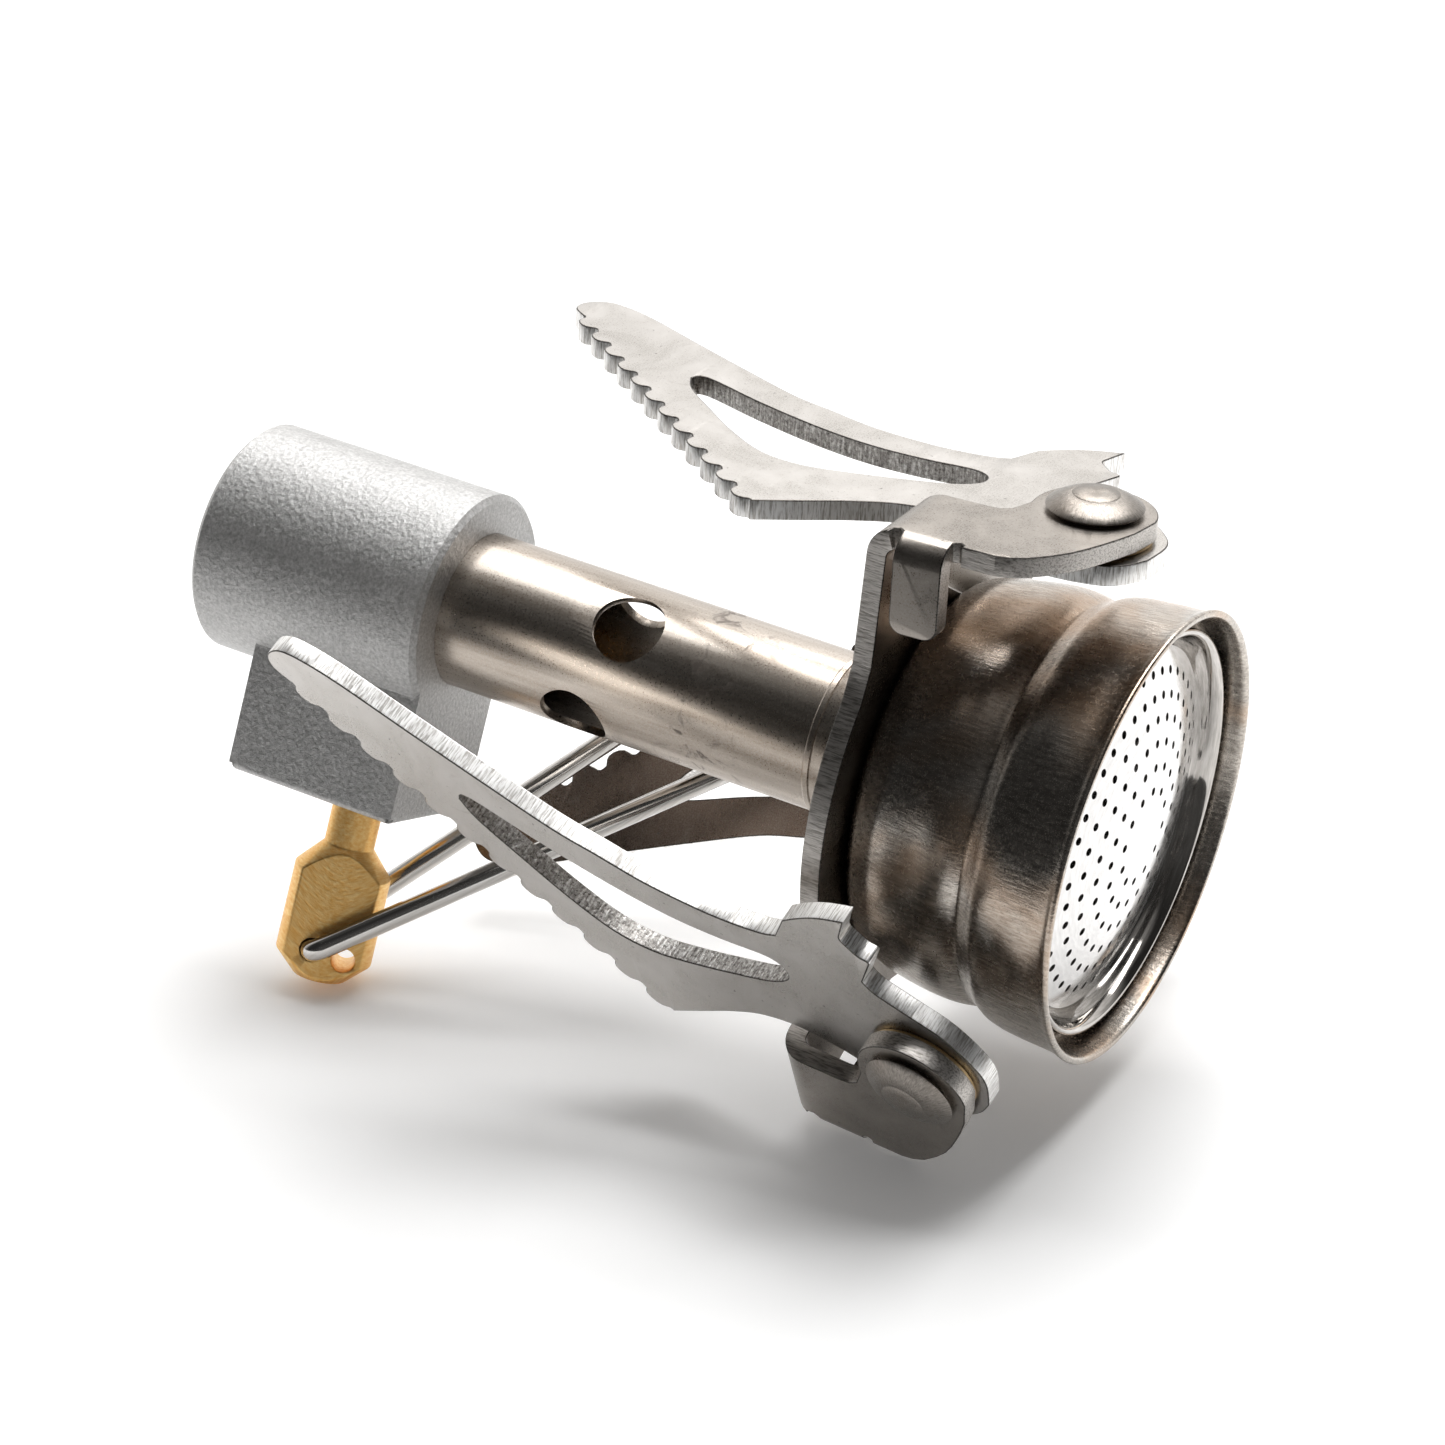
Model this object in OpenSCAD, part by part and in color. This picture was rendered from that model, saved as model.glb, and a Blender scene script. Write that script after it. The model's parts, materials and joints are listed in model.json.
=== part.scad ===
// Folding canister stove: a brass spindle valve in a round body, an air-mixing
// tube, a pressed burner cup with a drilled flame plate, and three plate arms
// that fold down beside the tube.  Millimetres.
// Origin: mouth of the canister thread, on the bottom face.  +Z is the burner
// axis, up to the flame.  +X is the spindle axis, out to the wire handle.

/* [Valve body] */
// Outside diameter of the round valve body
body_d = 15.5; // [14:0.1:18]
// Height of the valve body
body_h = 17.4; // [16:0.1:20]
// Wall radius of the canister thread, 7/16-28 UNEF
thread_r = 5.56; // [5.5:0.01:5.7]
// Length of the canister thread
thread_h = 4.6; // [4:0.1:6]
// Width of the spindle block
block_w = 10.2; // [9:0.1:12]
// Reach of the spindle block from the axis
block_x = 14.4; // [12:0.1:17]
// Height of the underside of the spindle block
block_z = 4.75; // [3:0.05:6]
// Height of the spindle axis
spindle_z = 12.2; // [11:0.1:13]

/* [Mixing tube] */
// Outside radius of the mixing tube
tube_r = 5.2; // [4.8:0.05:6]
// Wall of the mixing tube
tube_wall = 0.5; // [0.4:0.05:1]
// Diameter of each air hole
air_hole_d = 4.75; // [3:0.05:6]
// Height of the upper pair of air holes
air_high_z = 30.2; // [28:0.1:34]
// Height of the lower pair of air holes
air_low_z = 27.5; // [26:0.1:30]

/* [Burner] */
// Rim radius of the burner cup
rim_r = 14.6; // [12:0.1:18]
// Height of the burner rim
rim_z = 65.9; // [60:0.1:70]
// Sheet thickness of the burner cup
cup_t = 0.4; // [0.3:0.05:0.8]
// Diameter of each flame hole
flame_hole_d = 0.52; // [0.4:0.02:0.8]

/* [Pot support] */
// Sheet thickness of the bracket and the arms
sheet_t = 1.3; // [1:0.05:2]
// Height of the underside of the bracket
bracket_z = 49.5; // [45:0.1:52]
// Radius of the round part of the bracket
bracket_r = 14.9; // [12:0.1:18]
// Distance of the arm's outer face from the axis at its rivet
hinge_rho = 19.2; // [17:0.1:22]
// Sideways offset of the rivet from the radial line
hinge_t = 1.58; // [0:0.02:4]
// Height of the rivets
hinge_z = 59.7; // [55:0.1:64]
// Outward lean of the tabs, degrees
hinge_lean = 3.35; // [0:0.05:8]
// Direction of the first tab, degrees from the spindle
first_tab = 77.3; // [0:0.1:120]
// Number of teeth on each arm
tooth_count = 12; // [8:1:16]
// Depth of each tooth
tooth_h = 0.55; // [0.3:0.05:1]

/* [Spindle and handle] */
// Diameter of the spindle head
head_d = 6.5; // [5:0.1:9]
// Width across the two milled flats of the head
head_flat = 3.9; // [3:0.1:5]
// Roll of the head about its axis, degrees
head_roll = 27; // [0:1:90]
// Diameter of the handle wire
wire_d = 1.5; // [1:0.05:2]
// Length of each handle leg to its end corner
leg_len = 38; // [25:0.5:45]

/* [Hidden] */
$fn = 96;
eps = 0.01;
run = 0.05;
body_r = body_d / 2;
wire_r = wire_d / 2;
tube_in = tube_r - tube_wall;
spigot_r = tube_in + 0.15;
spigot_h = 3;
spigot_in = tube_in - 0.25;
tube_z = 15.4;
jet_z = 13.4;
jet_r = 1.8;
collar_z = 44.4;
collar_r = 5.35;
flange_r = 7.2;
flange_h = 0.6;
// Canister socket: relief above the thread, O-ring seat and depressor pin
relief_r = 5.8;
seat_z = 6.8;
seat_top = 8.6;
seat_r = 4.9;
seal_r = 0.9;
depressor_z = 4.9;
depressor_r = 1.1;
depressor_h = 5.3;
// Valve passages
orifice_r = 0.5;
gas_x = 2.4;
plenum_r = 0.8;
chamber_r = 1.6;
chamber_x = 1.9;
stem_r = 2.4;
stem_x0 = 6.4;
stem_x1 = 10.4;
gland_x = 12.3;
gland_r = 2.9;
neck_r = 1.69;
needle_r = 0.8;
needle_tip_r = 0.1;
spindle_seal_r = 0.38;
neck_x = 17.9;
cone_x = 19.7;
cham_x = 25.7;
head_x = 27.2;
head_r = head_d / 2;
head_end_r = 1.75;
hole1_x = 25.05;
hole1_m = -0.82;
hole2_x = 25.3;
hole2_m = 1.37;
cross_r = wire_r + run;
// Handle wire: the legs lie beside the flats and spread a little
leg_side = 2.8;
fold_angle = 132.7;
leg_spread = 4.9;
wire_bend = 1;
end_bend = 3.4;
// Bends are a hair thicker than the straights, which run into them
bend_r = wire_r + 0.012;
lap = 0.08;
leg_gap = leg_len * sin(leg_spread);
half_bar = norm([leg_gap, leg_side]);
corner_turn = 90 + asin(sin(leg_spread) * leg_gap / half_bar);
corner_cut = end_bend * tan(corner_turn / 2);
// Burner
cup_z = bracket_z + sheet_t;
dome_r = 35.2;
dome_top = 65.5;
dome_t = 0.4;
dome_edge = 11.7;
// Hinge: x is out of the tab, y is sideways, z is up the tab
play = 0.02;
washer_t = 0.3;
washer_r = 3.6;
tab_x = washer_t;
pin_r = 1.2;
ear_r = 3.8;
hub_r = 4.5;
bend_in = 0.6;
bend_z = -8.33;
leg_y0 = 3;
leg_y1 = 9.57;
stop_y = 9.35;
stop_z0 = -8;
stop_z1 = -4.85;
stop_in = -4.4;
stop_bend_in = 0.3;
tooth_tip = [-14.13, -43.31];
tooth_end = [7.1, -19.35];

// Put a child on hinge i, in the tilted plane of its tab
module on_hinge(i) {
  rotate([0, 0, first_tab + 120 * (i - 1)])
    translate([hinge_rho, hinge_t, hinge_z])
      rotate([0, hinge_lean, 0])
        children();
}

// A sheet drawn in the tab plane, from x0 outwards
module sheet(x0, t) {
  translate([x0, 0, 0])
    rotate([90, 0, 90])
      linear_extrude(height = t)
        children();
}

// A bar along the spindle axis
module along_x(x0, x1, r) {
  translate([x0, 0, spindle_z])
    rotate([0, 90, 0])
      cylinder(r = r, h = x1 - x0);
}

// A cone along the spindle axis
module cone_x(x0, x1, r0, r1) {
  translate([x0, 0, spindle_z])
    rotate([0, 90, 0])
      cylinder(r1 = r0, r2 = r1, h = x1 - x0);
}

module spindle_block() {
  c = 0.4;
  translate([0, -block_w / 2, block_z])
    cube([block_x - c, block_w, body_h - block_z]);
  translate([0, -block_w / 2 + c, block_z + c])
    cube([block_x, block_w - 2 * c, body_h - block_z - 2 * c]);
  for (s = [-1, 1]) {
    translate([block_x - c, s * (block_w / 2 - c), block_z + c])
      cylinder(r = c, h = body_h - block_z - 2 * c);
    translate([block_x - c, -block_w / 2 + c, (s > 0 ? body_h - c : block_z + c)])
      rotate([-90, 0, 0])
        cylinder(r = c, h = block_w - 2 * c);
  }
}

module valve_body() {
  c = 0.35;
  color("silver")
  difference() {
    union() {
      cylinder(r1 = body_r - c, r2 = body_r, h = c);
      translate([0, 0, c])
        cylinder(r = body_r, h = body_h - 2 * c);
      translate([0, 0, body_h - c])
        cylinder(r1 = body_r, r2 = body_r - c, h = c);
      spindle_block();
    }
    // Canister thread, with a lead-in at the mouth
    translate([0, 0, -eps])
      cylinder(r = thread_r, h = thread_h + eps);
    translate([0, 0, -eps])
      cylinder(r1 = thread_r + 0.4, r2 = thread_r, h = 0.4);
    // Thread relief, O-ring seat and the press hole of the depressor pin
    translate([0, 0, thread_h])
      cylinder(r = relief_r, h = seat_z - thread_h);
    cylinder(r = seat_r, h = seat_top);
    cylinder(r = depressor_r, h = depressor_z + depressor_h);
    // Gas way up into the spindle chamber
    translate([gas_x, 0, seat_top - eps])
      cylinder(r = orifice_r, h = spindle_z - seat_top);
    // Spindle bore, from the needle seat out to the gland
    along_x(0, chamber_x + eps, orifice_r);
    along_x(chamber_x, stem_x0, chamber_r);
    along_x(stem_x0 - eps, gland_x, stem_r + run);
    along_x(gland_x - eps, block_x + eps, gland_r);
    // Plenum under the jet, the jet's thread and the tube's recess
    translate([0, 0, spindle_z])
      cylinder(r = plenum_r, h = tube_z - spindle_z);
    translate([0, 0, jet_z])
      cylinder(r = jet_r, h = tube_z);
    translate([0, 0, tube_z])
      cylinder(r = tube_r + play, h = body_h);
  }
}

module canister_o_ring() {
  color("black")
  translate([0, 0, seat_top - seal_r])
    rotate_extrude()
      translate([seat_r - seal_r - run, 0])
        circle(r = seal_r, $fn = 32);
}

module depressor_pin() {
  tip = 0.6;
  color("silver")
  translate([0, 0, depressor_z]) {
    cylinder(r1 = depressor_r - 0.4, r2 = depressor_r, h = tip);
    translate([0, 0, tip])
      cylinder(r = depressor_r, h = depressor_h - tip);
  }
}

// Jet: thread, hexagon, barrel and nose, with a feed bore and a fine orifice
module jet() {
  hex_h = 2.6;
  barrel_r = 1.9;
  barrel_h = 3.7;
  nose_h = 2;
  hex_top = tube_z + hex_h;
  color("gold")
  difference() {
    union() {
      translate([0, 0, jet_z])
        cylinder(r = jet_r, h = tube_z - jet_z + 0.1);
      translate([0, 0, tube_z])
        cylinder(r = 2.9, h = hex_h, $fn = 6);
      translate([0, 0, hex_top])
        cylinder(r = barrel_r, h = barrel_h);
      translate([0, 0, hex_top + barrel_h])
        cylinder(r1 = barrel_r, r2 = 1.1, h = nose_h);
    }
    translate([0, 0, jet_z - eps])
      cylinder(r = 0.9, h = 9);
    translate([0, 0, hex_top])
      cylinder(r = 0.2, h = barrel_h + nose_h + 1);
  }
}

module air_holes(az, z) {
  translate([0, 0, z])
    rotate([0, 90, az])
      translate([0, 0, -tube_r - 1])
        cylinder(d = air_hole_d, h = 2 * tube_r + 2);
}

module mixing_tube() {
  color("silver")
  difference() {
    union() {
      translate([0, 0, tube_z])
        cylinder(r = tube_r, h = collar_z - tube_z);
      translate([0, 0, collar_z - eps])
        cylinder(r = spigot_r, h = spigot_h);
    }
    translate([0, 0, tube_z - 1])
      cylinder(r = spigot_in, h = 40);
    translate([0, 0, tube_z - 1])
      cylinder(r = tube_in, h = collar_z - tube_z - 1);
    air_holes(54, air_high_z);
    air_holes(321, air_low_z);
  }
}

// Flanged sleeve that clamps the cup and the bracket, and takes the tube
module burner_neck() {
  color("silver")
  difference() {
    union() {
      translate([0, 0, collar_z])
        cylinder(r = collar_r, h = cup_z + cup_t - collar_z + 0.1);
      translate([0, 0, cup_z + cup_t])
        cylinder(r = flange_r, h = flange_h);
    }
    translate([0, 0, collar_z - 1])
      cylinder(r = spigot_r, h = 10);
  }
}

// Leg, ear and stop of one tab, drawn in its own plane
module tab_outline() {
  difference() {
    union() {
      circle(r = ear_r);
      polygon([[leg_y0, bend_z], [leg_y1, bend_z], [leg_y1, -1.9],
        [8.9, -0.4], [7.5, 0.9], [5.9, 1.7], [2.2, 2.75], [0, 0], [1.2, -3.6],
        [2.2, -4.1], [2.8, -4.7], [leg_y0, -5.4]]);
    }
    // Relief notches beside the stop
    translate([leg_y1, stop_z1 + 0.4])
      circle(r = 0.4, $fn = 24);
    translate([stop_y - stop_bend_in, stop_z0])
      square([1, stop_z1 - stop_z0]);
  }
}

// Points round a corner of radius r, centred on c
function arc(c, r, a0, a1) = [for (i = [0:6])
  let (a = a0 + (a1 - a0) * i / 6) c + r * [cos(a), sin(a)]];

// The stop itself, pointing in past the arm
module stop_plate() {
  r = 0.9;
  translate([0, stop_y + sheet_t, 0])
    rotate([90, 0, 0])
      linear_extrude(height = sheet_t)
        polygon(concat([[tab_x - stop_bend_in, stop_z0], [tab_x - stop_bend_in, stop_z1]],
          arc([stop_in + r, stop_z1 - r], r, 90, 180),
          arc([stop_in + r, stop_z0 + r], r, 180, 270)));
}

module stop_bend() {
  translate([tab_x - stop_bend_in, stop_y - stop_bend_in, stop_z0])
    rotate_extrude(angle = 90)
      translate([stop_bend_in, 0])
        square([sheet_t, stop_z1 - stop_z0]);
}

// Bend between the bracket and a tab's leg, with the strip that runs in under
// the cup.  The strip thins a hair so that it ends inside the round plate.
module leg_bend() {
  c = [tab_x - bend_in, bend_z];
  outer = bend_in + sheet_t;
  start = -90 + hinge_lean;
  inward = -[cos(hinge_lean), sin(hinge_lean)];
  down = [cos(start), sin(start)];
  thin = 0.02;
  strip = 8;
  translate([0, leg_y1, 0])
    rotate([90, 0, 0])
      linear_extrude(height = leg_y1 - leg_y0)
        polygon(concat(
          [[tab_x, bend_z + 0.5], [tab_x + sheet_t, bend_z + 0.5]],
          arc(c, outer, 0, start),
          [c + down * (outer - thin) + inward * strip],
          [c + down * (bend_in + thin) + inward * strip],
          arc(c, bend_in, start, 0)));
}

module pot_bracket() {
  color("silver") {
    difference() {
      translate([0, 0, bracket_z])
        cylinder(r = bracket_r, h = sheet_t);
      translate([0, 0, bracket_z - 1])
        cylinder(r = collar_r + play, h = 4);
    }
    for (i = [1:3])
      on_hinge(i) {
        difference() {
          sheet(tab_x, sheet_t)
            tab_outline();
          rotate([0, 90, 0])
            cylinder(r = pin_r, h = 9);
        }
        leg_bend();
        stop_bend();
        stop_plate();
      }
  }
}

// Burner cup: rounded base, bowl, crease, shoulder and thin rolled rim
module burner_cup() {
  t = cup_t;
  color("silver")
  rotate_extrude()
    polygon([[collar_r, cup_z], [11.2, cup_z], [11.95, 51.1], [12.45, 51.8],
      [12.95, 53.2], [13.3, 55], [13.45, 57], [13.35, 58.3], [13.13, 59.05],
      [13.45, 59.8], [13.86, 60.5], [14.1, 61.7], [14.22, 62.9], [14.3, 64.5],
      [14.48, 65.4], [rim_r, rim_z - 0.15], [rim_r - 0.15, rim_z],
      [rim_r - 0.5, rim_z], [14.05, 65.5], [14.3 - t, 64.5], [14.22 - t, 62.9],
      [14.1 - t, 61.7], [13.86 - t, 60.55], [13.45 - t, 59.95], [13.13 - t, 59.05],
      [13.35 - t, 58.2], [13.45 - t, 57], [13.3 - t, 55.1], [12.95 - t, 53.4],
      [12.45 - t, 52.1], [11.75, 51.45], [11.1, cup_z + t], [collar_r, cup_z + t]]);
}

// Ring that holds the flame plate: steep wall, lip, and a groove beside the cup
module flame_ring() {
  color("silver")
  rotate_extrude()
    polygon([[11.3, 62.8], [11.75, 62.9], [12.1, 63.2], [12.3, 63.6], [12.42, 64.15],
      [12.6, 64.6], [12.8, 64.8], [13, 64.78], [13.1, 64.55], [13.12, 63.6],
      [13.3, 63.1], [14.22 - cup_t, 62.9], [14.1 - cup_t, 61.7], [13.2, 61.7],
      [12.95, 62.5], [12.3, 62.6], [11.3, 62.3]]);
}

// Shallow dome with six rings of flame holes
module flame_plate() {
  rings = [[2.99, 12], [4.48, 18], [5.99, 24], [7.47, 30], [8.85, 38], [10.29, 44]];
  start = 249;
  color("silver")
  difference() {
    intersection() {
      translate([0, 0, dome_top - dome_r])
        difference() {
          sphere(r = dome_r);
          sphere(r = dome_r - dome_t);
        }
      translate([0, 0, 60])
        cylinder(r = dome_edge, h = 10);
    }
    for (ring = rings)
      for (i = [0:ring[1] - 1])
        rotate([0, 0, start + i * 360 / ring[1]])
          translate([ring[0], 0, 60])
            cylinder(d = flame_hole_d, h = 8, $fn = 16);
  }
}

// Rivet: dome head on the tab, shank, and the upset tail behind the arm
module rivet(i) {
  head_r = 3.05;
  head_h = 1.15;
  tail_r = 2.3;
  tail_h = 0.85;
  overlap = 0.1;
  // The head is a cap cut from this sphere
  cap_r = (head_r * head_r + head_h * head_h) / (2 * head_h);
  face = tab_x + sheet_t;
  back = -sheet_t - play;
  color("silver")
  on_hinge(i)
    rotate([0, 90, 0])
      rotate_extrude() {
        intersection() {
          translate([0, face + head_h - cap_r])
            circle(r = cap_r);
          translate([0, face])
            square([head_r + 1, head_h + 1]);
        }
        translate([0, back - overlap])
          square([pin_r, face - back + overlap]);
        translate([0, back - 0.05 - tail_h])
          square([tail_r, tail_h]);
      }
}

module washer(i) {
  color("gold")
  on_hinge(i)
    rotate([0, 90, 0])
      difference() {
        cylinder(r = washer_r, h = washer_t);
        translate([0, 0, -1])
          cylinder(r = pin_r, h = 3);
      }
}

// Teeth: low, even waves with a small flat on top
function tooth(i) = let (d = (tooth_end - tooth_tip) / tooth_count,
  n = [d[1], -d[0]] / norm(d), p = tooth_tip + d * i)
  [p, p + d * 0.45 + n * tooth_h, p + d * 0.6 + n * tooth_h];
function teeth() = [for (i = [0:tooth_count - 1]) for (p = tooth(i)) p];

module arm_outline() {
  difference() {
    union() {
      circle(r = hub_r);
      polygon(concat(
        [[1.8, 3.8], [-2.46, 3.6], [-4.47, 1.78], [-5.65, -0.73], [-6.29, -2.55],
        [-7.2, -3.4], [-9.76, -2.4], [-9.86, -3.22], [-11.03, -4.38],
        [-13.04, -3.83], [-12.3, -6.02], [-10.49, -8.21], [-8.84, -8.84],
        [-8.11, -9.39], [-7.66, -10.58], [-7.45, -14.5], [-7.84, -18.69],
        [-8.75, -21.88], [-9.66, -25.07], [-11.76, -29.72], [-14.13, -34.65],
        [-16.41, -39.3], [-17.32, -42.03], [-17.2, -43.4], [-16.3, -44.5],
        [-15.1, -44.6]],
        teeth(),
        [tooth_end, [5.47, -16.96], [3.65, -14.41], [2.2, -11.8], [1.9, -9],
        [2.6, -6], [4.1, -1.3]]));
    }
    polygon([[-8.48, -32], [-9.1, -31.2], [-7.29, -26.44], [-5.74, -21.43],
      [-4.92, -17.32], [-4.92, -13.68], [-5.2, -10.4], [-4.75, -9.3], [-4.1, -8.98],
      [-3.2, -9.3], [-2.28, -10.76], [-1.28, -13.49], [-0.36, -16.41],
      [0.36, -19.6], [0, -22.61], [-2, -25.53], [-4.38, -28.26], [-6.84, -31]]);
    circle(r = pin_r + run, $fn = 48);
  }
}

module arm(i) {
  color("silver")
  on_hinge(i)
    sheet(-sheet_t - play, sheet_t)
      arm_outline();
}

module spindle_gland() {
  color("gold")
  difference() {
    along_x(gland_x, block_x, gland_r);
    along_x(gland_x - 1, block_x + 1, neck_r + run);
  }
}

// Place a child so that x is the spindle axis and z is out of a milled flat
module on_head() {
  translate([0, 0, spindle_z])
    rotate([90 - head_roll, 0, 0])
      children();
}

module valve_spindle() {
  color("gold")
  difference() {
    union() {
      cone_x(chamber_x - 1, chamber_x + 1.1, needle_tip_r, needle_r);
      along_x(chamber_x + 1, stem_x0 + 0.4, needle_r);
      along_x(stem_x0 + 0.3, stem_x1, stem_r);
      along_x(stem_x1 - eps, neck_x, neck_r);
      along_x(stem_x1 + 1.5, gland_x - 0.1, stem_r);
      cone_x(neck_x - eps, cone_x, neck_r, head_r);
      along_x(cone_x - eps, cham_x, head_r);
      cone_x(cham_x - eps, head_x, head_r, head_end_r);
    }
    on_head() {
      for (s = [-1, 1])
        translate([neck_x + 0.3, -5, (s > 0 ? head_flat / 2 : -head_flat / 2 - 5)])
          cube([20, 10, 5]);
      translate([hole1_x, hole1_m, -5])
        cylinder(r = cross_r, h = 10);
      translate([hole2_x, hole2_m, -5])
        cylinder(r = cross_r, h = 10);
    }
  }
}

module spindle_o_ring() {
  color("black")
  translate([stem_x1 + 0.75, 0, spindle_z])
    rotate([0, 90, 0])
      rotate_extrude()
        translate([neck_r + spindle_seal_r, 0])
          circle(r = spindle_seal_r, $fn = 32);
}

// One side of the handle: bend out of the cross hole, leg and end corner
module handle_side() {
  b = wire_bend;
  rotate([0, 0, -leg_spread]) {
    translate([b, 0, leg_side - b])
      rotate([90, 0, 0])
        rotate([0, 0, 90])
          rotate_extrude(angle = 90)
            translate([b, 0])
              circle(r = bend_r, $fn = 32);
    translate([b - lap, 0, leg_side])
      rotate([0, 90, 0])
        cylinder(r = wire_r, h = leg_len - corner_cut - b + 2 * lap);
    translate([leg_len, 0, leg_side])
      rotate([-atan2(leg_side, leg_gap * cos(leg_spread)), 0, 0])
        translate([-corner_cut, end_bend, 0])
          rotate([0, 0, -90])
            rotate_extrude(angle = corner_turn)
              translate([end_bend, 0])
                circle(r = bend_r, $fn = 32);
  }
}

module wire_handle() {
  pin = 2 * (leg_side - wire_bend + lap);
  bar = 2 * (half_bar - corner_cut + lap);
  color("silver")
  on_head()
    translate([hole1_x, hole1_m, 0])
      rotate([0, 0, fold_angle]) {
        cylinder(r = wire_r, h = pin, center = true);
        handle_side();
        rotate([180, 0, 0])
          handle_side();
        translate([leg_len * cos(leg_spread), 0, 0])
          rotate([atan2(leg_gap, leg_side), 0, 0])
            cylinder(r = wire_r, h = bar, center = true);
      }
}

valve_body();
canister_o_ring();
depressor_pin();
jet();
mixing_tube();
burner_neck();
pot_bracket();
burner_cup();
flame_ring();
flame_plate();
rivet(1);  // rivet_1
rivet(2);  // rivet_2
rivet(3);  // rivet_3
washer(1);  // washer_1
washer(2);  // washer_2
washer(3);  // washer_3
arm(1);  // arm_1
arm(2);  // arm_2
arm(3);  // arm_3
spindle_gland();
valve_spindle();
spindle_o_ring();
wire_handle();
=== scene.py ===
"""Looks of the folding canister stove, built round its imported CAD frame.

Lengths are in millimetres until a piece is made, and every piece lies in the CAD row frame:
+Z up the burner axis, +X along the valve spindle.
"""

import json
import math

import bmesh
import bpy
import numpy as np
from mathutils import Matrix, Vector


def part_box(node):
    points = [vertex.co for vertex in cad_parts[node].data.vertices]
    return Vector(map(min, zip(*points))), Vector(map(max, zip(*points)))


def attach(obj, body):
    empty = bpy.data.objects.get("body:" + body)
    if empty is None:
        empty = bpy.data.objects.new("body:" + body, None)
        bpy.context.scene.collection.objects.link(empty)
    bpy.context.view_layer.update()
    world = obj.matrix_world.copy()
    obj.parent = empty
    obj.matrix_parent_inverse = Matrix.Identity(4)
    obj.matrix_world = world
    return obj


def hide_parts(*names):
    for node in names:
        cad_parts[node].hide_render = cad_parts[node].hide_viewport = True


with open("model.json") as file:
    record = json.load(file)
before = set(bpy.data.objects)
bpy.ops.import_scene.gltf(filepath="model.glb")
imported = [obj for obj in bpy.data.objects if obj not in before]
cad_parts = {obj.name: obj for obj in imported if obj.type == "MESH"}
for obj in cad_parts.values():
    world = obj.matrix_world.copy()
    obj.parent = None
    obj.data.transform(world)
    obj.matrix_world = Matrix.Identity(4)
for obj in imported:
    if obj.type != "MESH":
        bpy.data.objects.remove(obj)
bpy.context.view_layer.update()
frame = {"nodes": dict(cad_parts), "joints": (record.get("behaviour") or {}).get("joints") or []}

MM = 0.001
JOINTS = {j["name"]: j for j in frame["joints"]}

# Sheet and wire
SHEET = 1.3
WIRE_R = 0.75
LEG_SIDE = 2.8
LEG_LENGTH = 38.0
WIRE_BEND = 1.0
END_BEND = 3.4
# How far the handle is folded over at rest, and how far each leg spreads, degrees
LEG_FOLD = 132.7
LEG_SPREAD = 4.9

# Spindle head: half the width across its flats, and its cross holes along and across
HEAD_HALF = 1.95
CROSS_R = 0.8
CROSS_HOLES = ((0.0, 0.0), (0.25, 2.19))

# Azimuth and height of each pair of air holes
AIR_HOLES = ((54, 30.2), (321, 27.5))
AIR_HOLE_R = 2.375

# Canister thread, 7/16-28: pitch, depth of its bump, outer limit and top
THREAD_PITCH = 0.907
THREAD_DEPTH = 0.25
THREAD_R = 5.7
THREAD_TOP = 4.6

# Hinge frame: x out of the tab, y sideways, z up the tab
TAB_X = 0.3
PLAY = 0.02
PIN_R = 1.2
PLATE_R = 14.9
COLLAR_R = 5.35
LEAN = math.radians(3.35)
LEG_Y0 = 3.0
LEG_Y1 = 9.57
BEND_IN = 0.6
BEND_Z = -8.33
EAR_R = 3.8
STOP_BEND_Y = 9.05
STOP_BEND_IN = 0.3
STOP_Z0 = -8.0
STOP_Z1 = -4.85
STOP_REACH = 4.4


# ---------------------------------------------------------------- frames

def top_of(node):
    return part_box(node)[1].z / MM


def bottom_of(node):
    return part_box(node)[0].z / MM


def axes_matrix(origin, x_axis, z_hint):
    """A frame in mm with this x axis, and z as near to z_hint as it can be."""
    x = Vector(x_axis).normalized()
    y = Vector(z_hint).cross(x).normalized()
    z = x.cross(y)
    m = Matrix((x, y, z)).transposed().to_4x4()
    m.translation = Vector(origin)
    return m


def hinge_frame(i):
    j = JOINTS["arm_%d_swing" % i]
    return axes_matrix([v / MM for v in j["pos_m"]], j["axis"], (0, 0, 1))


# Takes a drawing's x, y and thickness to a hinge frame's y, z and x
SHEET_TO_HINGE = Matrix(((0, 0, 1, 0), (1, 0, 0, 0), (0, 1, 0, 0), (0, 0, 0, 1)))


# ---------------------------------------------------------------- meshes

def add_piece(name, mesh, body, nodes=(), materials=(), matrix=None, in_row=False):
    """Puts a mesh drawn in mm into the scene, riding on a body in place of CAD nodes.

    With in_row the mesh itself is moved into the row frame, so that its own box is the true one,
    and it keeps where each point was drawn for its materials.
    """
    obj = bpy.data.objects.new(name, mesh)
    bpy.context.scene.collection.objects.link(obj)
    m = matrix or Matrix.Identity(4)
    place = m.copy()
    place.translation = m.translation * MM
    mesh.transform(Matrix.Scale(MM, 4))
    if in_row:
        drawn = mesh.attributes.new("drawn_at", "FLOAT_VECTOR", "POINT")
        for v, item in zip(mesh.vertices, drawn.data):
            item.vector = v.co
        mesh.transform(place)
    else:
        obj.matrix_world = place
    for mat in materials:
        mesh.materials.append(mat)
    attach(obj, body)
    if nodes:
        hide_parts(*nodes)
    return obj


def smooth(mesh, angle=35):
    for p in mesh.polygons:
        p.use_smooth = True
    mesh.set_sharp_from_angle(angle=math.radians(angle))


def weigh_normals(obj):
    w = obj.modifiers.new("flat_faces", "WEIGHTED_NORMAL")
    w.keep_sharp = True
    w.weight = 70


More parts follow.
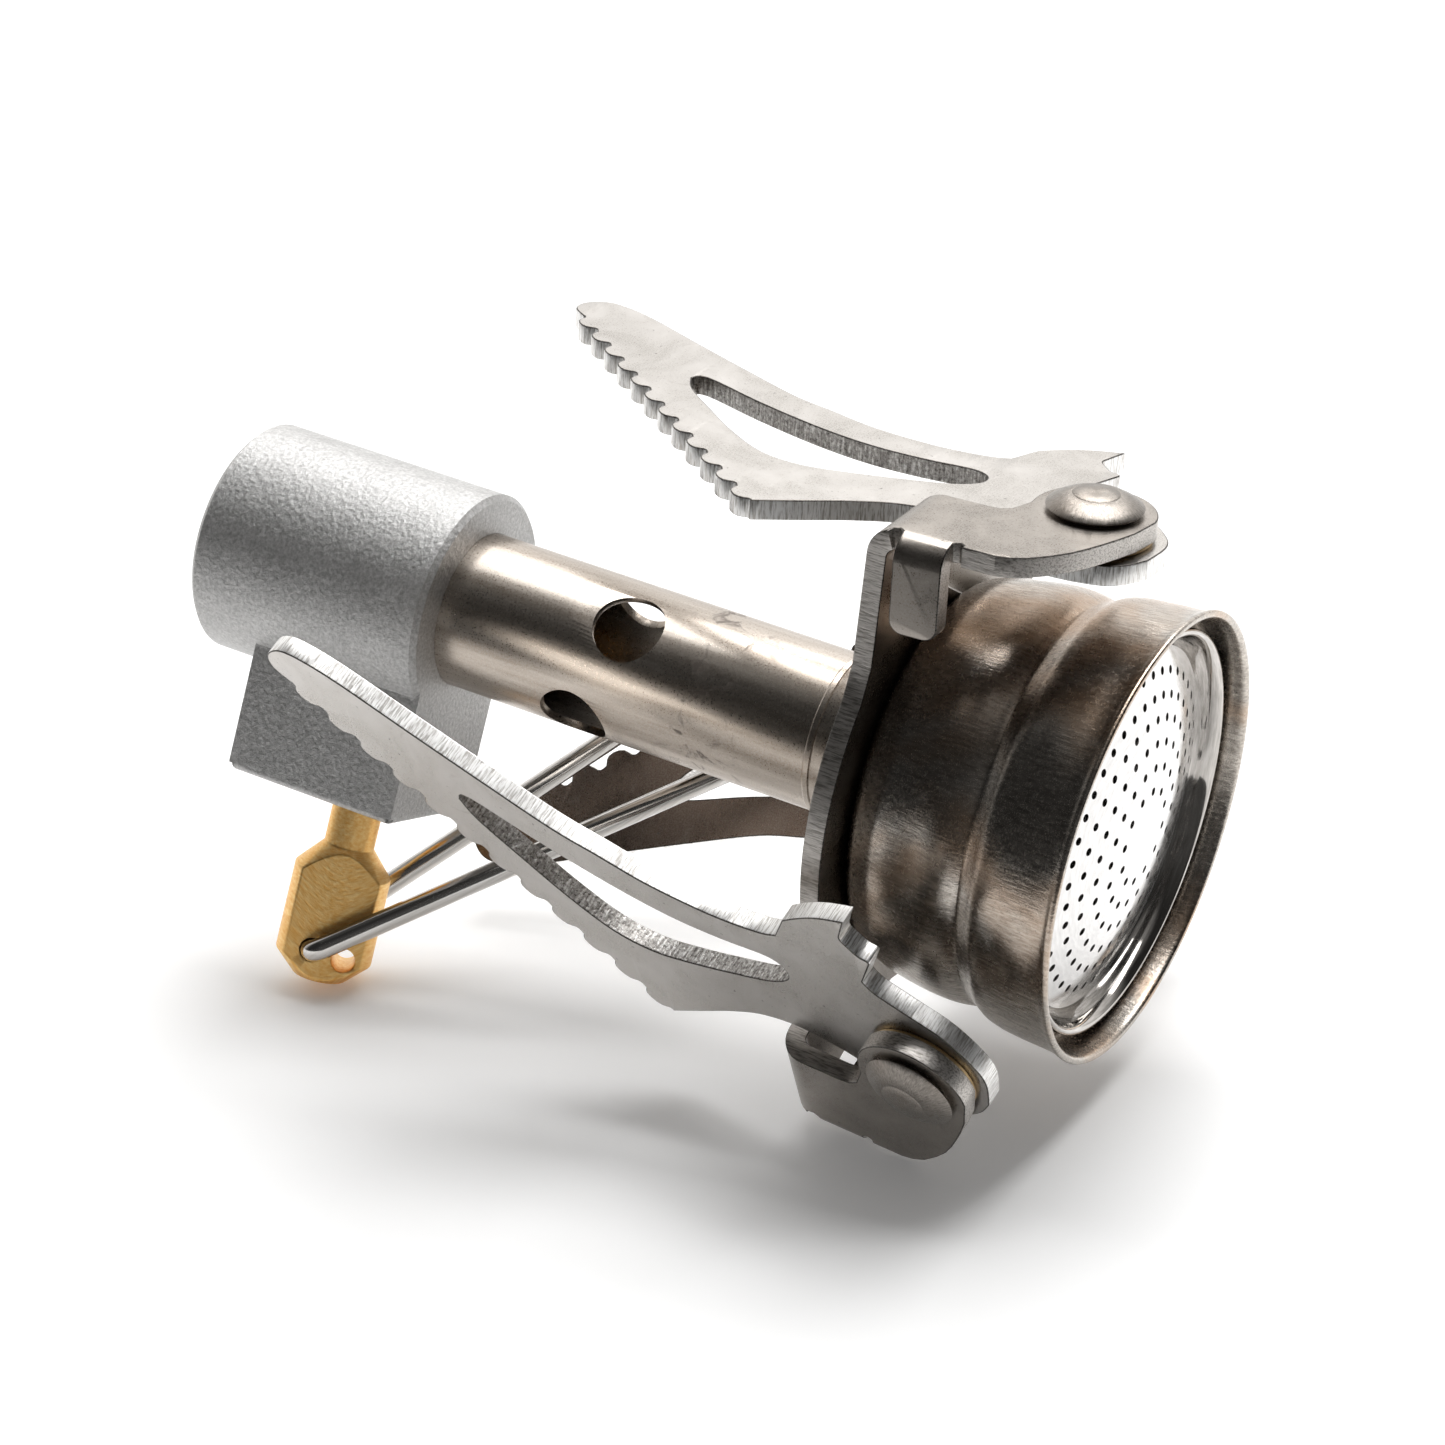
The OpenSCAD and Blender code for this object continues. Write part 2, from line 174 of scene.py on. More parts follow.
def flow(points, steps=6):
    """A smooth open line through (x, y) points; a point given as (x, y, 0) stays a sharp corner."""
    line = []
    n = len(points)
    for i in range(n - 1):
        p1, p2 = points[i], points[i + 1]
        p0 = points[i - 1] if i and len(p1) == 2 else p1
        p3 = points[i + 2] if i + 2 < n and len(p2) == 2 else p2
        a, b, c, d = (np.array(p[:2], float) for p in (p0, p1, p2, p3))
        for k in range(steps):
            t = k / steps
            line.append(0.5 * (2 * b + (c - a) * t + (2 * a - 5 * b + 4 * c - d) * t * t
                               + (3 * b - a - 3 * c + d) * t ** 3))
    line.append(np.array(points[-1][:2], float))
    return line


def round_corners(points, radius, steps=4):
    """A closed outline with each corner rounded."""
    out = []
    n = len(points)
    for i, p in enumerate(points):
        p = Vector(p[:2])
        a = (Vector(points[i - 1][:2]) - p)
        b = (Vector(points[(i + 1) % n][:2]) - p)
        r = min(radius, a.length * 0.45, b.length * 0.45)
        s, e = p + a.normalized() * r, p + b.normalized() * r
        for k in range(steps + 1):
            t = k / steps
            out.append(s * (1 - t) ** 2 + p * 2 * t * (1 - t) + e * t * t)
    return out


def lathe(profile, segments=192, closed=True):
    """A mesh of revolution about z from (radius, z) points."""
    bm = bmesh.new()
    rings = []
    for r, z in profile:
        if abs(r) < 1e-6:
            rings.append([bm.verts.new((0, 0, z))])
            continue
        rings.append([bm.verts.new((r * math.cos(a), r * math.sin(a), z))
                      for a in (2 * math.pi * k / segments for k in range(segments))])
    pairs = list(zip(rings, rings[1:]))
    if closed:
        pairs.append((rings[-1], rings[0]))
    for low, high in pairs:
        for k in range(segments):
            m = (k + 1) % segments
            quad = [low[k % len(low)], low[m % len(low)], high[m % len(high)], high[k % len(high)]]
            corners = list(dict.fromkeys(quad))
            if len(corners) > 2:
                bm.faces.new(corners)
    bmesh.ops.recalc_face_normals(bm, faces=bm.faces)
    mesh = bpy.data.meshes.new("lathe")
    bm.to_mesh(mesh)
    bm.free()
    return mesh


def stamped(outline, holes, thickness, edge):
    """A flat sheet with rounded edges, centred on z = 0, from outlines in mm."""
    curve = bpy.data.curves.new("stamped", "CURVE")
    curve.dimensions = "2D"
    curve.fill_mode = "BOTH"
    curve.extrude = thickness / 2 - edge
    curve.bevel_depth = edge
    curve.bevel_resolution = 2
    curve.offset = -edge
    for line in [outline] + list(holes):
        s = curve.splines.new("POLY")
        s.points.add(len(line) - 1)
        for p, q in zip(s.points, line):
            p.co = (q[0], q[1], 0, 1)
        s.use_cyclic_u = True
    obj = bpy.data.objects.new("stamped", curve)
    mesh = bpy.data.meshes.new_from_object(obj)
    bpy.data.objects.remove(obj)
    bpy.data.curves.remove(curve)
    bm = bmesh.new()
    bm.from_mesh(mesh)
    bmesh.ops.remove_doubles(bm, verts=bm.verts, dist=1e-4)
    bm.to_mesh(mesh)
    bm.free()
    return mesh


def circle(x, y, r, n=40):
    return [(x + r * math.cos(math.radians(a)), y + r * math.sin(math.radians(a)))
            for a in (360 * k / n for k in range(n))]


def tube_along(points, radius, sides=24):
    """A round wire through 3-D points in mm."""
    curve = bpy.data.curves.new("wire", "CURVE")
    curve.dimensions = "3D"
    curve.bevel_depth = radius
    curve.bevel_resolution = sides // 4 - 1
    curve.use_fill_caps = True
    s = curve.splines.new("POLY")
    s.points.add(len(points) - 1)
    for p, q in zip(s.points, points):
        p.co = (*q, 1)
    obj = bpy.data.objects.new("wire", curve)
    mesh = bpy.data.meshes.new_from_object(obj)
    bpy.data.objects.remove(obj)
    bpy.data.curves.remove(curve)
    return mesh


def arc_corner(a, corner, b, radius, steps=10):
    """Points of the round bend that joins two straight runs at a corner."""
    u, v = (a - corner).normalized(), (b - corner).normalized()
    half = u.angle(v) / 2
    back = radius / math.tan(half)
    centre = corner + (u + v).normalized() * (radius / math.sin(half))
    s, e = corner + u * back - centre, corner + v * back - centre
    sweep = math.pi - 2 * half
    return [centre + (s * math.sin((1 - t) * sweep) + e * math.sin(t * sweep)) / math.sin(sweep)
            for t in (k / steps for k in range(steps + 1))]


# ---------------------------------------------------------------- materials

class Shader:
    """A short way to write a node material."""

    def __init__(self, name, drawn=False):
        self.mat = bpy.data.materials.new(name)
        self.mat.use_nodes = True
        self.tree = self.mat.node_tree
        self.bsdf = self.tree.nodes["Principled BSDF"]
        if drawn:
            self.place = self.node("ShaderNodeAttribute", attribute_name="drawn_at").outputs["Vector"]
        else:
            self.place = self.node("ShaderNodeTexCoord").outputs["Object"]

    def node(self, kind, **settings):
        n = self.tree.nodes.new(kind)
        for k, v in settings.items():
            setattr(n, k, v)
        return n

    def plug(self, node, **values):
        for name, v in values.items():
            socket = node.inputs[name.replace("_", " ")]
            if isinstance(v, bpy.types.NodeSocket):
                self.tree.links.new(v, socket)
            else:
                socket.default_value = v
        return node

    def stretched(self, x, y, z):
        m = self.node("ShaderNodeMapping")
        m.inputs["Scale"].default_value = (x, y, z)
        self.tree.links.new(self.place, m.inputs["Vector"])
        return m.outputs["Vector"]

    def around(self, turn, along):
        """Coordinates that run slowly round the piece's z axis and fast along it."""
        split = self.node("ShaderNodeSeparateXYZ")
        self.tree.links.new(self.place, split.inputs[0])
        flat = self.node("ShaderNodeVectorMath", operation="MULTIPLY")
        self.tree.links.new(self.place, flat.inputs[0])
        flat.inputs[1].default_value = (1, 1, 0)
        unit = self.node("ShaderNodeVectorMath", operation="NORMALIZE")
        self.tree.links.new(flat.outputs[0], unit.inputs[0])
        wide = self.node("ShaderNodeVectorMath", operation="SCALE")
        self.tree.links.new(unit.outputs[0], wide.inputs[0])
        wide.inputs["Scale"].default_value = turn
        length = self.node("ShaderNodeVectorMath", operation="LENGTH")
        self.tree.links.new(flat.outputs[0], length.inputs[0])
        sum_ = self.maths("ADD", split.outputs["Z"], length.outputs["Value"])
        tall = self.maths("MULTIPLY", sum_, along)
        joined = self.node("ShaderNodeCombineXYZ")
        self.tree.links.new(tall, joined.inputs["Z"])
        both = self.node("ShaderNodeVectorMath", operation="ADD")
        self.tree.links.new(wide.outputs[0], both.inputs[0])
        self.tree.links.new(joined.outputs[0], both.inputs[1])
        return both.outputs[0]

    def maths(self, operation, a, b=0.0, c=0.0):
        n = self.node("ShaderNodeMath", operation=operation)
        for socket, v in zip(n.inputs, (a, b, c)):
            if isinstance(v, bpy.types.NodeSocket):
                self.tree.links.new(v, socket)
            else:
                socket.default_value = v
        return n.outputs[0]

    def noise(self, vector, scale, detail=3.0, rough=0.55, twist=0.0):
        n = self.node("ShaderNodeTexNoise")
        self.plug(n, Vector=vector, Scale=scale, Detail=detail, Roughness=rough, Distortion=twist)
        return n.outputs["Fac"]

    def cells(self, vector, scale):
        n = self.node("ShaderNodeTexVoronoi")
        self.plug(n, Vector=vector, Scale=scale)
        return n.outputs["Distance"]

    def remap(self, value, low, high, to_low=0.0, to_high=1.0):
        n = self.node("ShaderNodeMapRange")
        self.plug(n, Value=value, From_Min=low, From_Max=high, To_Min=to_low, To_Max=to_high)
        return n.outputs["Result"]

    def ramp(self, value, *stops):
        n = self.node("ShaderNodeValToRGB")
        e = n.color_ramp.elements
        while len(e) < len(stops):
            e.new(0.5)
        for item, (at, colour) in zip(e, stops):
            item.position = at
            item.color = (*colour, 1)
        self.tree.links.new(value, n.inputs["Fac"])
        return n.outputs["Color"]

    def mix(self, factor, a, b, blend="MIX"):
        n = self.node("ShaderNodeMix", data_type="RGBA", blend_type=blend)
        for key, v in (("Factor", factor), ("A", a), ("B", b)):
            socket = [s for s in n.inputs if s.name == key and s.enabled][0]
            if isinstance(v, bpy.types.NodeSocket):
                self.tree.links.new(v, socket)
            else:
                socket.default_value = v if key == "Factor" else (*v, 1)
        return [s for s in n.outputs if s.enabled][0]

    def bump(self, height, strength, distance, under=None):
        n = self.node("ShaderNodeBump")
        self.plug(n, Height=height, Strength=strength, Distance=distance)
        if under is not None:
            self.tree.links.new(under, n.inputs["Normal"])
        return n.outputs["Normal"]

    def finish(self, colour, roughness, normal=None, metallic=1.0):
        self.plug(self.bsdf, Base_Color=colour, Roughness=roughness, Metallic=metallic)
        if normal is not None:
            self.tree.links.new(normal, self.bsdf.inputs["Normal"])
        return self.mat


def threaded(s):
    """Height of the thread cut in the body's mouth, and nothing elsewhere."""
    split = s.node("ShaderNodeSeparateXYZ")
    s.tree.links.new(s.place, split.inputs[0])
    flat = s.node("ShaderNodeVectorMath", operation="MULTIPLY")
    s.tree.links.new(s.place, flat.inputs[0])
    flat.inputs[1].default_value = (1, 1, 0)
    length = s.node("ShaderNodeVectorMath", operation="LENGTH")
    s.tree.links.new(flat.outputs[0], length.inputs[0])
    z = split.outputs["Z"]
    wave = s.maths("SINE", s.maths("MULTIPLY", z, 2 * math.pi / (THREAD_PITCH * MM)))
    near = s.maths("LESS_THAN", length.outputs["Value"], THREAD_R * MM)
    low = s.maths("LESS_THAN", z, THREAD_TOP * MM)
    return s.maths("MULTIPLY", wave, s.maths("MULTIPLY", near, low))


def blasted_alloy(name, dark, light, grain):
    s = Shader(name)
    fine = s.noise(s.place, grain, 5, 0.75)
    flecks = s.cells(s.place, grain * 0.55)
    cloud = s.noise(s.place, 260, 3, 0.6)
    speck = s.remap(fine, 0.38, 0.66)
    colour = s.mix(speck, dark, light)
    colour = s.mix(s.remap(cloud, 0.35, 0.7, 0.0, 0.35), colour, dark)
    rough = s.remap(fine, 0.3, 0.7, 0.34, 0.50)
    pits = s.bump(threaded(s), 1.0, THREAD_DEPTH * MM)
    pits = s.bump(flecks, 0.5, 0.00006, pits)
    return s.finish(colour, rough, s.bump(fine, 0.9, 0.00007, pits), 0.78)


def sheet_metal(name, dark, light):
    s = Shader(name, drawn=True)
    fine = s.noise(s.place, 9000, 4, 0.7)
    cloud = s.noise(s.place, 210, 4, 0.6, 0.6)
    stain = s.noise(s.stretched(900, 900, 900), 0.55, 5, 0.65, 1.2)
    scratch = s.noise(s.stretched(9000, 1200, 260), 1.0, 2, 0.5)
    colour = s.mix(s.remap(cloud, 0.3, 0.75), dark, light)
    pits = s.noise(s.place, 2600, 2, 0.5)
    colour = s.mix(s.remap(pits, 0.70, 0.76, 0, 0.7), colour, (0.12, 0.11, 0.10))
    colour = s.mix(s.remap(stain, 0.62, 0.78, 0, 0.5), colour, (0.26, 0.23, 0.20))
    colour = s.mix(s.remap(fine, 0.4, 0.7, 0, 0.2), colour, (0.70, 0.68, 0.66))
    rough = s.maths("ADD", s.remap(fine, 0.3, 0.7, 0.20, 0.34), s.remap(cloud, 0.3, 0.8, 0.0, 0.10))
    under = s.bump(scratch, 0.12, 0.00002)
    return s.finish(colour, rough, s.bump(fine, 0.22, 0.00003, under))


def cut_edge(name, dark, light):
    """The sheared edge of the sheet: fine lines across the thickness."""
    s = Shader(name, drawn=True)
    lines = s.noise(s.stretched(9500, 9500, 900), 1.0, 3, 0.65)
    cloud = s.noise(s.place, 700, 3, 0.6)
    colour = s.mix(s.remap(lines, 0.38, 0.54), dark, light)
    colour = s.mix(s.remap(cloud, 0.45, 0.75, 0.0, 0.3), colour, dark)
    rough = s.remap(lines, 0.3, 0.7, 0.30, 0.46)
    return s.finish(colour, rough, s.bump(lines, 0.5, 0.00004))


def torn_edge(name):
    """The wall of a slot: grainy, with bright flecks."""
    s = Shader(name, drawn=True)
    grain = s.noise(s.place, 4200, 4, 0.75)
    lines = s.noise(s.stretched(6000, 6000, 900), 1.0, 3, 0.65)
    both = s.maths("MULTIPLY_ADD", lines, 0.45, s.maths("MULTIPLY", grain, 0.55))
    colour = s.ramp(both, (0.38, (0.16, 0.15, 0.14)), (0.5, (0.42, 0.40, 0.38)),
                    (0.62, (0.88, 0.87, 0.85)))
    return s.finish(colour, s.remap(grain, 0.3, 0.7, 0.22, 0.42), s.bump(both, 0.9, 0.00008))


def lined_metal(name, dark, light, tint, low_rough, high_rough, along=False):
    """Metal with fine lines, along or round the z axis, and heat tints."""
    s = Shader(name)
    rings = s.noise(s.stretched(5200, 5200, 620) if along else s.around(26, 9000), 1.0, 4, 0.7)
    peel = s.noise(s.place, 3600, 3, 0.6)
    fine = s.noise(s.place, 12000, 3, 0.6)
    cloud = s.noise(s.place, 120, 3, 0.6, 0.8)
    heat = s.noise(s.place, 75, 3, 0.55, 1.0)
    colour = s.mix(s.remap(rings, 0.35, 0.68), dark, light)
    colour = s.mix(s.remap(cloud, 0.35, 0.72, 0.0, 0.12), colour, dark)
    colour = s.mix(s.remap(heat, 0.46, 0.68, 0.0, 0.75), colour, tint)
    colour = s.mix(s.remap(fine, 0.5, 0.75, 0.0, 0.2), colour, light)
    rough = s.remap(peel, 0.3, 0.75, low_rough, high_rough)
    under = s.bump(peel, 0.14, 0.00004)
    return s.finish(colour, rough, s.bump(rings, 0.5, 0.00004, under))


def tube_metal(name):
    s = Shader(name)
    rings = s.noise(s.around(10, 7000), 1.0, 2, 0.5)
    wipe = s.noise(s.stretched(900, 900, 60), 1.0, 3, 0.6)
    fine = s.noise(s.place, 8000, 3, 0.6)
    stain = s.noise(s.stretched(420, 420, 420), 1.0, 5, 0.7, 1.5)
    high = s.node("ShaderNodeSeparateXYZ")
    s.tree.links.new(s.place, high.inputs[0])
    band = s.maths("MULTIPLY", s.remap(high.outputs["Z"], 0.0325, 0.0355),
                   s.remap(high.outputs["Z"], 0.0410, 0.0375))
    dirt = s.maths("MULTIPLY", band, s.remap(stain, 0.56, 0.66))
    colour = s.mix(s.remap(wipe, 0.3, 0.7), (0.34, 0.285, 0.235), (0.58, 0.52, 0.46))
    colour = s.mix(s.remap(fine, 0.45, 0.7, 0, 0.2), colour, (0.84, 0.81, 0.78))
    colour = s.mix(s.maths("MULTIPLY", dirt, 0.75), colour, (0.13, 0.11, 0.10))
    rough = s.maths("ADD", s.remap(fine, 0.3, 0.7, 0.25, 0.36), s.maths("MULTIPLY", dirt, 0.25))
    return s.finish(colour, rough, s.bump(rings, 0.10, 0.00002))


def polished(name, low, high, low_rough, high_rough, grain=5200):
    s = Shader(name)
    lines = s.noise(s.around(8, grain), 1.0, 3, 0.6)
    cloud = s.noise(s.place, 300, 3, 0.6)
    colour = s.mix(s.remap(lines, 0.3, 0.7), low, high)
    rough = s.remap(cloud, 0.3, 0.7, low_rough, high_rough)
    return s.finish(colour, rough, s.bump(lines, 0.08, 0.00001))


def brass(name, low, high, low_rough, high_rough):
    s = Shader(name)
    turning = s.noise(s.around(5, 5200), 1.0, 3, 0.6)
    fine = s.noise(s.place, 7000, 3, 0.6)
    cloud = s.noise(s.place, 320, 3, 0.6, 0.6)
    colour = s.mix(s.remap(turning, 0.3, 0.7), low, high)
    colour = s.mix(s.remap(cloud, 0.4, 0.75, 0, 0.5), colour, low)
    rough = s.remap(fine, 0.3, 0.7, low_rough, high_rough)
    return s.finish(colour, rough, s.bump(turning, 0.5, 0.00004))


def rubber(name):
    s = Shader(name)
    fine = s.noise(s.place, 4000, 3, 0.6)
    colour = s.mix(fine, (0.012, 0.012, 0.013), (0.035, 0.035, 0.037))
    return s.finish(colour, s.remap(fine, 0.3, 0.7, 0.42, 0.6), s.bump(fine, 0.2, 0.00002), 0.0)


MAT = {
    "body": blasted_alloy("blasted_body", (0.36, 0.355, 0.35), (0.66, 0.655, 0.645), 4200),
    "sheet": sheet_metal("sheet_face", (0.43, 0.405, 0.375), (0.57, 0.545, 0.52)),
    # The bracket is the arms' sheet coloured darker: painted shade for the dark room and shadowed floor that
    # it reflects
    "bracket": sheet_metal("bracket_face_painted_shade", (0.22, 0.195, 0.17), (0.37, 0.335, 0.30)),
    # One arm's faces coloured near-black brown: painted shade where that arm lies under the stove, away from
    # the light
    "sheet_painted_shade": sheet_metal("sheet_dark_painted_shade", (0.10, 0.068, 0.048), (0.20, 0.15, 0.12)),
    # The arms' cut edges: real fine lines across the thickness, coloured far brighter than the bracket's edge
    # as painted highlight
    "arm_edge": cut_edge("arm_edge", (0.55, 0.525, 0.495), (1.0, 0.995, 0.98)),
    "edge": cut_edge("sheet_edge", (0.30, 0.28, 0.255), (0.62, 0.59, 0.56)),
    # A thin dark line of painted shade along the eased corner between face and cut edge
    "painted_edge_shade": cut_edge("sheet_painted_edge_shade", (0.03, 0.027, 0.024), (0.12, 0.11, 0.10)),
    "slot": torn_edge("slot_wall"),
    "burner": lined_metal("burner_brushed", (0.30, 0.27, 0.24), (0.66, 0.61, 0.55), (0.48, 0.31, 0.19),
                          0.18, 0.32, True),
    "tube": tube_metal("tube_polished"),
    "plate": polished("flame_plate_bright", (0.66, 0.65, 0.64), (0.80, 0.79, 0.78), 0.12, 0.22),
    # The polished ring is coloured darker than the flame plate: painted shade for the dark things it reflects
    "ring": polished("mouth_ring_painted_shade", (0.36, 0.34, 0.315), (0.58, 0.555, 0.53), 0.05, 0.14),
    "rivet": lined_metal("rivet_turned", (0.17, 0.153, 0.135), (0.34, 0.31, 0.28), (0.26, 0.20, 0.155),
                         0.26, 0.40),
    "brass": brass("spindle_brass", (0.84, 0.45, 0.12), (1.0, 0.72, 0.32), 0.36, 0.52),
    "washer": brass("washer_brass", (0.52, 0.36, 0.18), (0.78, 0.60, 0.34), 0.28, 0.42),
    "wire": polished("wire_bright", (0.52, 0.50, 0.47), (0.70, 0.68, 0.66), 0.10, 0.18),
    "steel": polished("pin_turned", (0.45, 0.45, 0.45), (0.66, 0.66, 0.66), 0.2, 0.32),
    "rubber": rubber("rubber_black"),
}


def paint_cad(node, mat):
    obj = frame["nodes"][node]
    obj.data.materials.clear()
    obj.data.materials.append(mat)


# ---------------------------------------------------------------- pieces

def split_edges(mesh, wall_limit=0.35, face_limit=0.97):
    """Second material across the sheet's thickness, third on the eased corner beside it, coloured as a thin
    dark line of painted shade.
    """
    for p in mesh.polygons:
        lean = abs(p.normal.z)
        p.material_index = 1 if lean < wall_limit else 0 if lean > face_limit else 2


ARM_BACK = [(1.4, 4.28), (-0.9, 4.4), (-2.46, 3.75), (-4.3, 1.9), (-5.4, -0.6), (-6.3, -2.6),
            (-7.2, -3.4, 0)]
ARM_HOOK = [(-7.2, -3.4, 0), (-9.76, -2.4, 0), (-9.86, -3.22, 0), (-11.03, -4.38, 0), (-13.2, -3.75, 0)]
ARM_SPINE = [(-13.2, -3.75, 0), (-12.45, -5.6), (-11.5, -7.1), (-10.4, -8.4, 0), (-8.25, -9.25, 0),
             (-7.75, -10.5), (-7.42, -13), (-7.45, -15.5), (-7.84, -18.7), (-8.75, -21.9),
             (-9.66, -25.07), (-11.76, -29.7),
             (-14.13, -34.65), (-16.41, -39.3), (-17.3, -42.0), (-17.25, -43.5), (-16.3, -44.5),
             (-15.1, -44.45), (-14.13, -43.31, 0)]
ARM_BELLY = [(7.1, -19.35, 0), (5.47, -16.9), (3.7, -14.3), (2.4, -11.8), (1.95, -9), (2.5, -6), (3.6, -3.0),
             (4.3, -0.8), (3.9, 2.1), (2.9, 3.45), (1.4, 4.28)]
ARM_SLOT = [(-8.48, -32), (-9.1, -31.2), (-7.29, -26.44), (-5.74, -21.43), (-4.98, -17.32), (-4.92, -13.68),
            (-5.2, -10.6), (-4.85, -9.4), (-4.1, -9.0), (-3.25, -9.35), (-2.28, -10.76), (-1.28, -13.49),
            (-0.36, -16.41), (0.3, -19.5), (-0.15, -22.4), (-2, -25.4), (-4.38, -28.26), (-6.84, -31.0),
            (-8.48, -32)]
TOOTH_TIP = Vector((-14.13, -43.31))
TOOTH_END = Vector((7.1, -19.35))
TEETH = 12
# The arm whose faces take the near-black painted shade
SHADED_ARM = 1
ARM_EASE = 0.09
BRACKET_EASE = 0.09
# One tooth: how far along the pitch, and height
TOOTH = [(0.02, -0.06), (0.12, 0.02), (0.19, 0.38), (0.27, 0.58), (0.42, 0.68), (0.58, 0.66), (0.72, 0.52),
         (0.81, 0.26), (0.88, 0.0), (0.95, -0.08)]


def arm_outline():
    line = flow(ARM_BACK)[:-1]
    line += round_corners([p[:2] for p in ARM_HOOK], 0.35)[5:-5]
    line += flow(ARM_SPINE)
    step = (TOOTH_END - TOOTH_TIP) / TEETH
    out = Vector((step.y, -step.x)).normalized()
    for i in range(TEETH):
        root = TOOTH_TIP + step * i
        for along, height in TOOTH:
            line.append(root + step * along + out * height)
    line += flow(ARM_BELLY)[:-1]
    return line


def build_arm(i):
    hole = circle(0, 0, PIN_R + 0.05)
    mesh = stamped(arm_outline(), [flow(ARM_SLOT, 4)[:-1], hole], SHEET, ARM_EASE)
    split_edges(mesh)
    slot = [Vector(p) for p in flow(ARM_SLOT, 8)]
    for p in mesh.polygons:
        if p.material_index == 1 and min((Vector(p.center[:2]) - q).length for q in slot) < 0.35:
            p.material_index = 3
    smooth(mesh, 40)
    place = hinge_frame(i) @ Matrix.Translation((-SHEET / 2 - PLAY, 0, 0)) @ SHEET_TO_HINGE
    # One arm takes the near-black colour as painted shade
    face = MAT["sheet_painted_shade"] if i == SHADED_ARM else MAT["sheet"]
    obj = add_piece("pot_arm_%d" % i, mesh, "arm_body_%d" % i, ["arm_%d" % i],
                    (face, MAT["arm_edge"], MAT["painted_edge_shade"], MAT["slot"]), place, in_row=True)
    weigh_normals(obj)


def along_pin(i):
    """Hinge frame turned so that z runs out along the rivet."""
    return hinge_frame(i) @ Matrix.Rotation(math.radians(90), 4, "Y")


def build_rivet(i):
    face = TAB_X + SHEET
    # A low dome with a ring mark, over a narrow undercut
    head = [(0, 1.27), (0.7, 1.25), (1.38, 1.16), (1.44, 1.11), (1.5, 1.12), (2.1, 0.9), (2.6, 0.64),
            (2.92, 0.42), (2.98, 0.34), (2.93, 0.26), (2.7, 0.1), (2.66, 0), (PIN_R, 0)]
    tail = -SHEET - PLAY
    shank = [(PIN_R, -0.05), (2.28, -0.05), (2.3, -0.2), (2.2, -0.6), (1.9, -0.88), (0.9, -0.9),
             (0.6, -0.75), (0, -0.72)]
    line = [(r, face + z) for r, z in head] + [(r, tail + z) for r, z in shank]
    mesh = lathe(line, 96, closed=False)
    smooth(mesh, 40)
    add_piece("rivet_head_%d" % i, mesh, "stove_frame", ["rivet_%d" % i],
              (MAT["rivet"],), along_pin(i))


def build_washer(i):
    t = TAB_X
    mesh = lathe([(PIN_R, 0), (3.52, 0), (3.6, 0.08), (3.6, t - 0.08), (3.52, t), (PIN_R, t)], 96)
    smooth(mesh, 30)
    add_piece("brass_washer_%d" % i, mesh, "stove_frame", ["washer_%d" % i],
              (MAT["washer"],), along_pin(i))


CUP = [(5.35, 50.8), (9.0, 50.8), (11.0, 50.82), (11.75, 51.0), (12.3, 51.5), (12.65, 52.3), (12.95, 53.2),
       (13.22, 54.6), (13.4, 56.2), (13.42, 57.4), (13.3, 58.4), (13.15, 58.95), (13.17, 59.25),
       (13.42, 59.75),
       (13.8, 60.4), (14.03, 61.3), (14.15, 62.3), (14.24, 63.5), (14.3, 64.5), (14.42, 65.2), (14.58, 65.6),
       (14.58, 65.8), (14.45, 65.9), (14.2, 65.86), (14.06, 65.6), (13.95, 65.0)]
# Azimuth and height of each dent, its depth, and its spread round and up the wall
DENTS = [(205, 55.2, 0.30, 16, 1.9), (238, 53.6, 0.26, 13, 1.4), (286, 55.6, 0.32, 15, 1.8),
         (322, 54.4, 0.24, 12, 1.6), (20, 55.4, 0.28, 17, 1.8), (70, 54.2, 0.22, 13, 1.5),
         (120, 55.6, 0.28, 16, 1.8), (165, 54.3, 0.22, 12, 1.5), (252, 61.6, 0.12, 12, 0.8),
         (190, 62.4, 0.10, 14, 0.9), (300, 61.9, 0.10, 12, 0.9)]


def build_cup():
    outer = flow(CUP, 5)
    wall = 0.4
    inner = []
    for p in outer:
        if p[1] < 64.9 and p[0] > 5.4:
            inner.append((p[0] - wall if p[1] > 51.3 else min(p[0], 11.4), max(p[1], 50.8 + wall)))
    inner = [q for k, q in enumerate(inner) if k % 2 == 0][::-1]
    mesh = lathe([tuple(p) for p in outer] + inner + [(5.35, 50.8 + wall)], 288)
    for v in mesh.vertices:
        r = math.hypot(v.co.x, v.co.y)
        if r < 11.5:
            continue
        az = math.degrees(math.atan2(v.co.y, v.co.x)) % 360
        push = 0.0
        for a, z, deep, wide, tall in DENTS:
            d = (az - a + 180) % 360 - 180
            push += deep * math.exp(-(d / wide) ** 2 - ((v.co.z - z) / tall) ** 2)
        v.co.x *= 1 - push / r
        v.co.y *= 1 - push / r
    smooth(mesh, 50)
    add_piece("burner_bowl", mesh, "stove_frame", ["burner_cup"], (MAT["burner"],))


def build_mouth_ring():
    # Up the steep polished wall, over the lip, and down into a narrow groove beside the cup
    wall = [(11.35, 62.75), (11.75, 62.85), (12.1, 63.15), (12.3, 63.6), (12.42, 64.15), (12.6, 64.6),
            (12.8, 64.8), (13.0, 64.78), (13.1, 64.55), (13.12, 63.6), (13.2, 63.1), (13.5, 62.95)]
    foot = [(13.86, 62.95), (13.7, 61.7), (13.25, 61.7), (12.85, 62.8), (12.8, 63.6), (12.3, 62.9),
            (11.35, 62.3)]
    mesh = lathe(flow(wall, 4) + foot, 192)
    smooth(mesh, 40)
    add_piece("mouth_ring", mesh, "stove_frame", ["flame_ring"], (MAT["ring"],))


